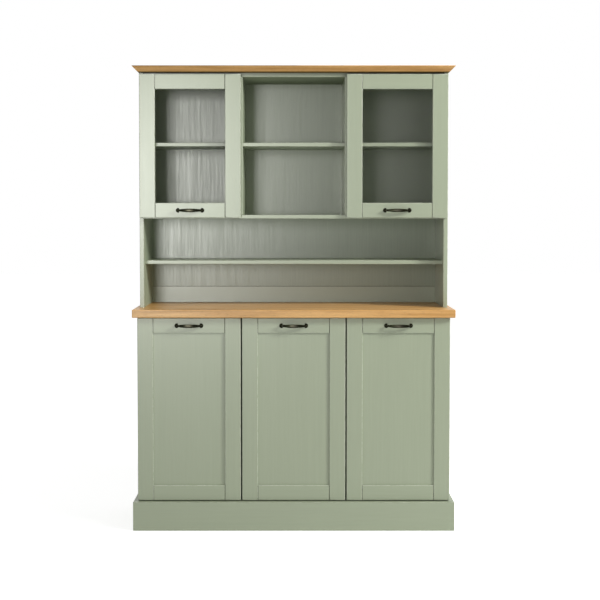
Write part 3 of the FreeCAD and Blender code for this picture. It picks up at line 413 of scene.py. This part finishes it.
def clear_glass(name):
    """Clear float glass; light from the lamps passes through it."""
    surface = Surface(name)
    surface.set(base_color=(0.99, 0.99, 0.99, 1), transmission_weight=1.0, ior=1.15)
    film = surface.noise(surface.place, scale=14.0, detail=3)
    surface.roughness(surface.between(film, to=(0.0, 0.012)))
    path = surface.add("ShaderNodeLightPath")
    open_to_light = surface.add("ShaderNodeBsdfTransparent")
    open_to_light.inputs["Color"].default_value = (0.94, 0.94, 0.94, 1)
    seen = surface.shader.outputs["BSDF"]
    for ray in ("Is Shadow Ray", "Is Diffuse Ray", "Is Glossy Ray"):
        mixed = surface.add("ShaderNodeMixShader")
        surface.join(path.outputs[ray], mixed.inputs["Fac"])
        surface.join(seen, mixed.inputs[1])
        surface.join(open_to_light.outputs["BSDF"], mixed.inputs[2])
        seen = mixed.outputs["Shader"]
    surface.join(seen, surface.output.inputs["Surface"])
    return surface.material


def soft_pad(name):
    """Milky soft plastic of the door pads."""
    surface = Surface(name)
    haze = surface.noise(surface.place, scale=400.0, detail=3)
    surface.colour(surface.tint(surface.between(haze), (0.62, 0.64, 0.61), (0.74, 0.76, 0.73)))
    surface.roughness(surface.between(haze, to=(0.32, 0.48)))
    surface.bump(haze, 0.05 * MM, 0.3)
    return surface.material


def board_paint(grain):
    return once("sage paint, grain along " + grain,
                lambda name: paint(name, settings().paint.colour, grain))


def inner_paint(grain):
    return once("inner paint, grain along " + grain,
                lambda name: paint(name, settings().paint.inner_colour, grain))


def rail_paint():
    return once("satin paint of the back rail",
                lambda name: paint(name, settings().paint.colour, "x", streaks=0.02, gloss=0.66))


# Painted shade: the top board is painted 0.8 times as bright as the boards, for its shaded underside.
def shaded_top_paint():
    return once("matt paint of the top board",
                lambda name: paint(name, shade(settings().paint.colour, 0.8), "x", gloss=0.05,
                                   sheen=(0.60, 0.72)))


# Painted shade: the front edges seen between shut doors are darkened where the doors stand close.
def gap_shade_edge_paint():
    return once("paint of the edges behind the doors",
                lambda name: paint(name, settings().paint.inner_colour, "z", gloss=0.1,
                                   shadow=GAP_SHADE))


# Painted shade under the cornice: paint 1.3 times as light as the boards, darkened by an occlusion mask
# where the cornice stands close.
def cornice_shade_edge_paint():
    return once("paint of the edge under the cornice",
                lambda name: paint(name, shade(settings().paint.colour, 1.3), "x", gloss=0.3,
                                   shadow=CORNICE_SHADE))


def seam(name):
    """Painted shade and dust in the joint lines: near-black where the groove's shadow falls."""
    surface = Surface(name)
    surface.set(specular_ior_level=0.1)
    dust = surface.noise(surface.place, scale=300.0, detail=3)
    surface.colour(surface.tint(surface.between(dust),
                                (0.020, 0.023, 0.014), (0.032, 0.036, 0.024)))
    surface.roughness(surface.between(dust, to=(0.70, 0.85)))
    surface.bump(dust, 0.05 * MM, 0.3)
    return surface.material


def shadow_line(name):
    """Painted shadow along the foot of the cornice: a dark brown line where its shade falls."""
    surface = Surface(name)
    surface.set(specular_ior_level=0.1)
    shadow_mottle = surface.noise(surface.stretched((8, 8, 400)), detail=3)
    surface.colour(surface.tint(surface.between(shadow_mottle),
                                (0.150, 0.094, 0.022), (0.200, 0.126, 0.032)))
    surface.roughness(surface.between(shadow_mottle, to=(0.60, 0.75)))
    surface.bump(shadow_mottle, 0.05 * MM, 0.3)
    return surface.material


def back_paint():
    return once("streaked paint of the backs",
                lambda name: paint(name, settings().paint.back_colour, "z", streaks=0.08,
                                   relief=0.4 * MM, gloss=0.58, sheen=(0.26, 0.46)))


def welded(node):
    """A copy of a solid's mesh with its loose triangles joined and its flat faces made whole."""
    bm = bmesh.new()
    bm.from_mesh(frame["nodes"][node].data)
    bmesh.ops.remove_doubles(bm, verts=bm.verts, dist=MEETING)
    bmesh.ops.dissolve_limit(bm, angle_limit=FLAT_TURN, verts=bm.verts, edges=bm.edges)
    return bm


def soften(bm, radius, shortest, segments=2):
    """Round the sharp edges that are long enough, and mark the rounding as rubbed."""
    mark = bm.faces.layers.float.new("rubbed")
    sharp = [edge for edge in bm.edges if len(edge.link_faces) == 2
             and edge.calc_face_angle(0) > SHARP_TURN and edge.calc_length() > shortest]
    made = bmesh.ops.bevel(bm, geom=sharp, offset=radius, offset_type="OFFSET", segments=segments,
                           profile=0.5, affect="EDGES", material=-1, clamp_overlap=True)
    for face in made["faces"]:
        face[mark] = 1.0
    return mark


def finish_piece(bm, name, materials, node):
    """Turn a mesh into a piece of the cabinet that stands for a node's solids."""
    for face in bm.faces:
        face.smooth = True
    mesh = bpy.data.meshes.new(name)
    bm.to_mesh(mesh)
    bm.free()
    for material in materials:
        mesh.materials.append(material)
    piece = bpy.data.objects.new(name, mesh)
    bpy.context.scene.collection.objects.link(piece)
    weights = piece.modifiers.new("Flat faces stay flat", "WEIGHTED_NORMAL")
    weights.keep_sharp = True
    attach(piece, BODY_OF[node])
    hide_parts(node)


def dressed(node, material, radius, shortest=8 * MM, second=None, where=None, split=None, lit_chamfers=False):
    """A piece with softened edges in the place of one solid.

    The faces that where() picks have the second material; split is a height at which faces are
    cut in two for it. With lit_chamfers, the chamfers that face the lamps get a painted highlight.
    """
    bm = welded(node)
    mark = soften(bm, radius, shortest)
    if split is not None:
        bmesh.ops.bisect_plane(bm, geom=bm.verts[:] + bm.edges[:] + bm.faces[:], plane_co=(0, 0, split),
                               plane_no=(0, 0, 1))
    for face in bm.faces:
        # Chamfers that face the lamps get a painted highlight, stronger than the wear on rounded edges.
        if lit_chamfers and -0.9 < face.normal.y < -0.5 and max(face.normal.x, face.normal.z) > 0.5:
            face[mark] = CHAMFER_HIGHLIGHT
        if second:
            face.material_index = int(where(face.calc_center_median(), face.normal))
    finish_piece(bm, "finished_" + node, (material, second) if second else (material,), node)


def islands(node):
    """The box of each separate solid in a node, as its lowest and highest corners."""
    bm = welded(node)
    left = set(bm.verts)
    boxes = []
    while left:
        reached = [left.pop()]
        for vert in reached:
            for edge in vert.link_edges:
                other = edge.other_vert(vert)
                if other in left:
                    left.remove(other)
                    reached.append(other)
        spots = [vert.co for vert in reached]
        boxes.append((Vector(map(min, zip(*spots))), Vector(map(max, zip(*spots)))))
    bm.free()
    return sorted(boxes, key=lambda box: tuple(round(value, 5) for value in box[0]))


def turned(bm, profile, steps):
    """Spin a profile, pairs of height and radius, about Z into a closed shape."""
    verts = [bm.verts.new((radius, 0, rise)) for rise, radius in profile]
    edges = [bm.edges.new(pair) for pair in zip(verts, verts[1:])]
    bmesh.ops.spin(bm, geom=verts + edges, cent=(0, 0, 0), axis=(0, 0, 1), dvec=(0, 0, 0),
                   angle=math.tau, steps=steps, use_merge=True, use_duplicate=False)


def ring(bm, radius, sides, matrix):
    """Add a circle, and give its edges for the bridge to the next one."""
    made = bmesh.ops.create_circle(bm, cap_ends=False, radius=radius, segments=sides, matrix=matrix)
    verts = set(made["verts"])
    return [edge for edge in bm.edges if edge.verts[0] in verts and edge.verts[1] in verts]


def close(bm):
    """Join what meets and turn every face outwards."""
    bmesh.ops.remove_doubles(bm, verts=bm.verts, dist=MEETING)
    bmesh.ops.recalc_face_normals(bm, faces=bm.faces)


def put(target, bm, matrix):
    """Move a finished shape to its place and add it to a larger mesh."""
    bmesh.ops.transform(bm, matrix=matrix, verts=bm.verts)
    held = bpy.data.meshes.new("held")
    bm.to_mesh(held)
    bm.free()
    target.from_mesh(held)
    bpy.data.meshes.remove(held)


# Turns from +Z, the way that a screw, pin or pad is made, to where it faces.
FACING = {
    "-y": Matrix.Rotation(math.pi / 2, 4, "X"),
    "y": Matrix.Rotation(-math.pi / 2, 4, "X"),
    "x": Matrix.Rotation(math.pi / 2, 4, "Y"),
    "-x": Matrix.Rotation(-math.pi / 2, 4, "Y"),
}


class CABINET_OT_boards(bpy.types.Operator):
    """Build the painted carcass boards and the plinth"""
    bl_idname = "cabinet.boards"
    bl_label = "Painted boards"

    def execute(self, context):
        radius = settings().paint.edge_radius
        for grain, nodes in (("z", UPRIGHT_BOARDS), ("x", LEVEL_BOARDS), ("y", DEEP_BOARDS)):
            for node in nodes:
                finish = inner_paint if SLOT_OF[node] == "carcass_board" else board_paint
                # The joint line over the back rail is near-black, painted shade and dust.
                if node == "niche_back_rail":
                    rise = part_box(node)[1].z - RAIL_ROUNDING
                    dressed(node, rail_paint(), RAIL_ROUNDING, second=once("seam", seam),
                            where=lambda middle, normal: middle.z > rise)
                # The top board's front edge has painted shade under the cornice.
                elif node == "hutch_top":
                    dressed(node, shaded_top_paint(), radius, second=cornice_shade_edge_paint(),
                            where=lambda middle, normal: normal.y < -0.5)
                # Front edges seen between the doors get paint with painted shade.
                elif node in SEEN_IN_GAPS:
                    dressed(node, finish(grain), radius, second=gap_shade_edge_paint(),
                            where=lambda middle, normal: normal.y < -0.5)
                else:
                    dressed(node, finish(grain), radius)
        cleats = frame["nodes"]["plinth_cleats"]
        for holder in cleats.material_slots:
            holder.link = "OBJECT"
            holder.material = inner_paint("x")
        return {"FINISHED"}


class CABINET_OT_backs(bpy.types.Operator):
    """Build the thin streaked back panels"""
    bl_idname = "cabinet.backs"
    bl_label = "Back panels"

    def execute(self, context):
        for node in BACK_PANELS:
            dressed(node, back_paint(), BACK_ROUNDING)
        return {"FINISHED"}


class CABINET_OT_oak(bpy.types.Operator):
    """Build the oak worktop and the mitred oak cornice"""
    bl_idname = "cabinet.oak"
    bl_label = "Oak worktop and cornice"

    def execute(self, context):
        along_x = once("oak, grain along x", lambda name: oak(name, "x"))
        along_y = once("oak, grain along y", lambda name: oak(name, "y"))
        radius = settings().oak.edge_radius
        dressed("worktop", along_x, radius)
        # The lowest strip of the cornice is cut off and given a painted shadow.
        for node, wood in (("cornice_front", along_x), ("cornice_returns", along_y)):
            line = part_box(node)[0].z + SHADOW_LINE
            dressed(node, wood, radius, second=once("shadow line", shadow_line), split=line,
                    where=lambda middle, normal: middle.z < line)
        return {"FINISHED"}


class CABINET_OT_door_frames(bpy.types.Operator):
    """Build the stiles, rails and panels of the doors"""
    bl_idname = "cabinet.door_frames"
    bl_label = "Door frames and panels"

    def execute(self, context):
        radius = settings().paint.edge_radius
        for door in DOORS:
            # Door frames get a painted highlight on the chamfers that face the lamps.
            dressed(door + "_stiles", board_paint("z"), radius, lit_chamfers=True)
            low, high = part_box(door + "_stiles")
            joints = (low.x + STILE_WIDTH, high.x - STILE_WIDTH)
            front = low.y + JOINT_DEPTH
            # The joint lines at the rails' ends are near-black, painted shade and dust.
            dressed(door + "_rails", board_paint("x"), radius, lit_chamfers=True, second=once("seam", seam),
                    where=lambda middle, normal: middle.y < front
                    and min(abs(middle.x - joint) for joint in joints) < JOINT_REACH)
        for door in BASE_DOORS:
            dressed(door + "_panel", board_paint("z"), radius)
        return {"FINISHED"}


class CABINET_OT_glazing(bpy.types.Operator):
    """Build the panes and the rounded beads that hold them"""
    bl_idname = "cabinet.glazing"
    bl_label = "Panes and beads"

    def execute(self, context):
        glass = once("clear glass", clear_glass)
        for door in GLAZED_DOORS:
            dressed(door + "_glass", glass, PANE_ROUNDING)
            self.beads(door + "_glass_beads")
        return {"FINISHED"}

    def beads(self, node):
        """Four strips round the pane, each rounded along the rear edge beside it."""
        low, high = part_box(node)
        inner_low, inner_high = low.z + BEAD_WIDTH, high.z - BEAD_WIDTH
        strips = (
            ((low.x, low.z), (high.x, inner_low), (0, 1)),
            ((low.x, inner_high), (high.x, high.z), (0, -1)),
            ((low.x, inner_low), (low.x + BEAD_WIDTH, inner_high), (1, 0)),
            ((high.x - BEAD_WIDTH, inner_low), (high.x, inner_high), (-1, 0)))
        whole = bmesh.new()
        for (x0, z0), (x1, z1), side in strips:
            middle = Vector(((x0 + x1) / 2, (low.y + high.y) / 2, (z0 + z1) / 2))
            toward = Vector((side[0], 0, side[1]))
            bm = bmesh.new()
            bmesh.ops.create_cube(bm, size=1)
            bmesh.ops.scale(bm, vec=(x1 - x0, high.y - low.y, z1 - z0), verts=bm.verts)
            bmesh.ops.translate(bm, vec=middle, verts=bm.verts)
            rounded = [edge for edge in bm.edges
                       if all(vert.co.y > middle.y and (vert.co - middle).dot(toward) > 0
                              for vert in edge.verts)]
            bmesh.ops.bevel(bm, geom=rounded, offset=BEAD_ROUNDING, offset_type="OFFSET", segments=6,
                            profile=0.5, affect="EDGES", material=-1, clamp_overlap=True)
            put(whole, bm, Matrix())
        soften(whole, radius=0.3 * MM, shortest=1 * MM, segments=1)
        finish_piece(whole, "finished_" + node, (board_paint("z"),), node)


class CABINET_OT_pulls(bpy.types.Operator):
    """Build the cast bow pulls on their stepped feet"""
    bl_idname = "cabinet.pulls"
    bl_label = "Bow pulls"

    def execute(self, context):
        for door in DOORS:
            self.pull(door + "_handle")
        return {"FINISHED"}

    def turned_part(self, profile):
        bm = bmesh.new()
        turned(bm, [(rise * MM, radius * MM) for rise, radius in profile], settings().metal.turns)
        close(bm)
        return bm

    def foot(self, hand):
        """A stepped round foot, cut straight on the side that faces the grip."""
        bm = self.turned_part(FOOT_PROFILE)
        made = bmesh.ops.bisect_plane(bm, geom=bm.verts[:] + bm.edges[:] + bm.faces[:],
                                      plane_co=(FOOT_CUT * MM * hand, 0, 0), plane_no=(hand, 0, 0),
                                      clear_outer=True, clear_inner=False)
        cut = [edge for edge in made["geom_cut"] if isinstance(edge, bmesh.types.BMEdge)]
        bmesh.ops.holes_fill(bm, edges=cut, sides=0)
        close(bm)
        return bm

    def pull(self, node):
        low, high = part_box(node)
        centre = Vector(((low.x + high.x) / 2, high.y, (low.z + high.z) / 2))
        whole = bmesh.new()
        for hand in (-1, 1):
            stand = Matrix.Translation(centre + Vector((hand * POST_PLACE * MM, 0, 0))) @ FACING["-y"]
            put(whole, self.foot(-hand), stand)
            put(whole, self.turned_part(POST_PROFILE), stand)
        self.grip(whole, centre)
        finish_piece(whole, "cast_" + node, (once("dark bronze", bronze),), node)

    def grip(self, whole, centre):
        """Oval rings along the bow, wider and further out towards its middle, joined in a row."""
        bm = bmesh.new()
        rings = []
        for step in range(GRIP_STEPS + 1):
            share = 2 * step / GRIP_STEPS - 1
            fullness = math.cos(share * math.pi / 2) ** 0.8 if abs(share) < 1 else 0.0
            reach, tall, thick = (ends + more * fullness
                                  for ends, more in (GRIP_REACH, GRIP_HEIGHT, GRIP_THICKNESS))
            spot = Vector((share * (POST_PLACE - GRIP_INSET), -reach, -GRIP_SAG * fullness)) * MM
            turn = (Matrix.Translation(centre + spot) @ Matrix.Rotation(GRIP_LEAN * share, 4, "Z")
                    @ Matrix.Rotation(math.pi / 2, 4, "Y"))
            size = Matrix.Diagonal((tall * MM, thick * MM, 1, 1))
            rings.append(ring(bm, 1, GRIP_SIDES, turn @ size))
        ends = rings[0] + rings[-1]
        for first, second in zip(rings, rings[1:]):
            bmesh.ops.bridge_loops(bm, edges=first + second)
        bmesh.ops.holes_fill(bm, edges=ends, sides=0)
        close(bm)
        mark = bm.faces.layers.float.new("rubbed")
        for face in bm.faces:
            off_centre = (face.calc_center_median().x - centre.x) / GRIP_WEAR_REACH
            face[mark] = math.exp(-off_centre * off_centre)
        put(whole, bm, Matrix())


class CABINET_OT_fittings(bpy.types.Operator):
    """Build the hinges, the shelf pins, the screws and the door pads"""
    bl_idname = "cabinet.fittings"
    bl_label = "Hinges, pins, screws and pads"

    def execute(self, context):
        plate = once("nickel plate", nickel)
        radius = settings().metal.edge_radius
        for node in ("hinge_arms", "hinge_plates"):
            dressed(node, plate, radius, shortest=1 * MM)
        for door in DOORS:
            dressed(door + "_hinge_cups", plate, radius, shortest=1 * MM)
            self.screws(door + "_screws", plate, in_door=True)
        self.screws("hinge_plate_screws", plate, in_door=False)
        self.pins(plate)
        self.pads()
        return {"FINISHED"}

    def cross_head(self, radius, height, shank_radius, shank):
        """A pan-head screw along Z, with a cross recess and a plain shank."""
        bm = bmesh.new()
        side = radius * HEAD_FLAT
        bmesh.ops.create_grid(bm, x_segments=5, y_segments=5, size=side / 2)
        cell = side / 5
        border = [edge for edge in bm.edges if edge.is_boundary]
        cross = []
        for face in bm.faces:
            off = sorted((abs(face.calc_center_median().x), abs(face.calc_center_median().y)))
            if off[0] < cell / 3 and off[1] < cell * 1.5:
                cross.append(face)
        sunk = bmesh.ops.extrude_face_region(bm, geom=cross)
        lowered = [item for item in sunk["geom"] if isinstance(item, bmesh.types.BMVert)]
        bmesh.ops.delete(bm, geom=cross, context="FACES")
        bmesh.ops.translate(bm, vec=(0, 0, -height * RECESS_DEPTH), verts=lowered)
        last = border
        circles = [(share * height, radius * size) for share, size in HEAD_PROFILE]
        for rise, size in circles + [(-height, shank_radius), (-height - shank, shank_radius)]:
            edges = ring(bm, size, SCREW_SIDES, Matrix.Translation((0, 0, rise)))
            bmesh.ops.bridge_loops(bm, edges=last + edges)
            last = edges
        bmesh.ops.holes_fill(bm, edges=last, sides=0)
        close(bm)
        return bm

    def screws(self, node, material, in_door):
        """A detailed screw for each screw of a node; those in a door have their heads to the rear."""
        whole = bmesh.new()
        for low, high in islands(node):
            size = high - low
            middle = (low + high) / 2
            length = size.y if in_door else size.x
            for_pull = in_door and length > PULL_SCREW_LENGTH
            height, shank_radius = PULL_SCREW if for_pull else HINGE_SCREW
            facing = "y" if in_door else self.head_side(node, low, high)
            spot = {"y": (middle.x, high.y, middle.z), "x": (high.x, middle.y, middle.z),
                    "-x": (low.x, middle.y, middle.z)}[facing]
            head = max(size.z, min(size)) / 2
            bm = self.cross_head(head, height, shank_radius, length - height)
            put(whole, bm, Matrix.Translation(spot) @ FACING[facing])
        finish_piece(whole, "cross_head_" + node, (material,), node)

    def head_side(self, node, low, high):
        """Which end of a sideways screw is the wide one."""
        mesh = frame["nodes"][node].data
        inside = [vert.co for vert in mesh.vertices
                  if all(low[i] - TOUCH <= vert.co[i] <= high[i] + TOUCH for i in range(3))]
        middle = (low + high) / 2
        wide = max(inside, key=lambda spot: abs(spot.z - middle.z))
        return "x" if wide.x > middle.x else "-x"

    def pins(self, material):
        whole = bmesh.new()
        for low, high in islands("shelf_pins"):
            size = high - low
            radius = size.z / 2
            bm = bmesh.new()
            bmesh.ops.create_cone(bm, cap_ends=True, cap_tris=False, segments=PIN_SIDES, radius1=radius,
                                  radius2=radius, depth=size.x)
            rims = [edge for edge in bm.edges if edge.calc_face_angle(0) > math.radians(60)]
            bmesh.ops.bevel(bm, geom=rims, offset=PIN_ROUNDING, offset_type="OFFSET", segments=3,
                            profile=0.5, affect="EDGES", material=-1, clamp_overlap=True)
            put(whole, bm, Matrix.Translation((low + high) / 2) @ FACING["x"])
        finish_piece(whole, "rounded_shelf_pins", (material,), "shelf_pins")

    def pads(self):
        whole = bmesh.new()
        for low, high in islands("door_bumpers"):
            size = high - low
            radius, height = size.z / 2, size.y
            bm = bmesh.new()
            turned(bm, [(height * rise, radius * share) for rise, share in PAD_PROFILE], PAD_SIDES)
            close(bm)
            middle = (low + high) / 2
            put(whole, bm, Matrix.Translation((middle.x, high.y, middle.z)) @ FACING["-y"])
        finish_piece(whole, "domed_door_pads", (once("milky plastic", soft_pad),), "door_bumpers")


class CABINET_OT_stage(bpy.types.Operator):
    """Set up the floor, the soft studio light and the camera"""
    bl_idname = "cabinet.stage"
    bl_label = "Stage"

    def execute(self, context):
        stage = settings().stage
        self.floor(stage)
        self.world(stage)
        self.lamp("soft lamp", SOFT_PLACE, LAMP_AIM, SOFT_SIZE, stage.soft)
        self.lamp("raking lamp", RAKE_PLACE, LAMP_AIM, RAKE_SIZE, stage.rake)
        card = self.lamp("light card", CARD_PLACE, CARD_AIM, CARD_SIZE, stage.card)
        card.visible_diffuse = False
        card.data.color = CARD_COLOUR
        self.keep_off_panes(card)
        self.camera(stage)
        return {"FINISHED"}

    def keep_off_panes(self, card):
        """The card's own shape doesn't show in the panes."""
        panes = bpy.data.collections.new("panes")
        card.light_linking.receiver_collection = panes
        for door in GLAZED_DOORS:
            panes.objects.link(bpy.data.objects["finished_" + door + "_glass"])
        for row in panes.collection_objects:
            row.light_linking.link_state = "EXCLUDE"

    def seen_directly(self, tree):
        """Is this a ray that a viewer sees by, straight or by way of metal or glass?"""
        path = tree.nodes.new("ShaderNodeLightPath")
        most = path.outputs["Is Camera Ray"]
        for name in ("Is Glossy Ray", "Is Transmission Ray"):
            larger = tree.nodes.new("ShaderNodeMath")
            larger.operation = "MAXIMUM"
            tree.links.new(most, larger.inputs[0])
            tree.links.new(path.outputs[name], larger.inputs[1])
            most = larger.outputs["Value"]
        return most

    def floor(self, stage):
        bm = bmesh.new()
        bmesh.ops.create_grid(bm, x_segments=4, y_segments=4, size=stage.floor_size / 2)
        mesh = bpy.data.meshes.new("pale_floor")
        bm.to_mesh(mesh)
        bm.free()
        floor = bpy.data.objects.new("pale_floor", mesh)
        bpy.context.scene.collection.objects.link(floor)
        surface = Surface("pale floor")
        surface.colour(surface.tint(surface.noise(surface.place, scale=3.0),
                                    (0.80, 0.80, 0.80), (0.82, 0.82, 0.82)))
        surface.set(roughness=0.9)
        glow = surface.add("ShaderNodeEmission")
        strength = surface.combine("MULTIPLY", self.seen_directly(surface.tree), FLOOR_GLOW)
        surface.join(strength, glow.inputs["Strength"])
        both = surface.add("ShaderNodeAddShader")
        surface.join(surface.shader.outputs["BSDF"], both.inputs[0])
        surface.join(glow.outputs["Emission"], both.inputs[1])
        surface.join(both.outputs["Shader"], surface.output.inputs["Surface"])
        mesh.materials.append(surface.material)

    def world(self, stage):
        world = bpy.data.worlds.new("studio")
        bpy.context.scene.world = world
        world.use_nodes = True
        tree = world.node_tree
        tree.nodes.clear()
        level = tree.nodes.new("ShaderNodeMapRange")
        level.inputs["To Min"].default_value = stage.fill
        level.inputs["To Max"].default_value = 1.0
        tree.links.new(self.seen_directly(tree), level.inputs["Value"])
        glow = tree.nodes.new("ShaderNodeBackground")
        glow.inputs["Color"].default_value = (1, 1, 1, 1)
        tree.links.new(level.outputs["Result"], glow.inputs["Strength"])
        output = tree.nodes.new("ShaderNodeOutputWorld")
        tree.links.new(glow.outputs["Background"], output.inputs["Surface"])

    def lamp(self, name, place, aim, size, power):
        lamp = bpy.data.lights.new(name, "AREA")
        lamp.shape = "RECTANGLE"
        lamp.size, lamp.size_y = size
        lamp.energy = power
        holder = bpy.data.objects.new(name, lamp)
        bpy.context.scene.collection.objects.link(holder)
        holder.location = place
        holder.rotation_euler = (Vector(aim) - Vector(place)).to_track_quat("-Z", "Y").to_euler()
        return holder

    def camera(self, stage):
        camera = bpy.data.cameras.new("front camera")
        camera.lens, camera.sensor_width = stage.lens, SENSOR_WIDTH
        camera.shift_x, camera.shift_y = CAMERA_SHIFT
        camera.clip_start, camera.clip_end = 0.1, 100
        holder = bpy.data.objects.new("front camera", camera)
        bpy.context.scene.collection.objects.link(holder)
        holder.location = CAMERA_PLACE
        holder.rotation_euler = (CAMERA_TILT, 0, 0)
        bpy.context.scene.camera = holder
        bpy.context.scene.view_settings.view_transform = "Standard"


STEPS = (CABINET_OT_boards, CABINET_OT_backs, CABINET_OT_oak, CABINET_OT_door_frames,
         CABINET_OT_glazing, CABINET_OT_pulls, CABINET_OT_fittings, CABINET_OT_stage)


class CABINET_PT_sidebar(bpy.types.Panel):
    """Lists the steps that build the cabinet and the settings that they read"""
    bl_label = "Display Cabinet"
    bl_idname = "CABINET_PT_sidebar"
    bl_space_type = "VIEW_3D"
    bl_region_type = "UI"
    bl_category = "Cabinet"

    def draw(self, context):
        held = context.scene.display_cabinet
        for group in (held.paint, held.oak, held.metal, held.stage):
            box = self.layout.box()
            for word in group.bl_rna.properties.keys():
                if word not in ("rna_type", "name"):
                    box.prop(group, word)
        for step in STEPS:
            self.layout.operator(step.bl_idname)


CLASSES = (PaintSettings, OakSettings, MetalSettings, StageSettings, CabinetSettings) + STEPS + (
    CABINET_PT_sidebar,)


def register():
    for kind in CLASSES:
        bpy.utils.register_class(kind)
    bpy.types.Scene.display_cabinet = PointerProperty(type=CabinetSettings)


def unregister():
    del bpy.types.Scene.display_cabinet
    for kind in reversed(CLASSES):
        bpy.utils.unregister_class(kind)


def main():
    register()
    for step in STEPS:
        group, word = step.bl_idname.split(".")
        getattr(getattr(bpy.ops, group), word)()


if __name__ == "__main__":
    main()
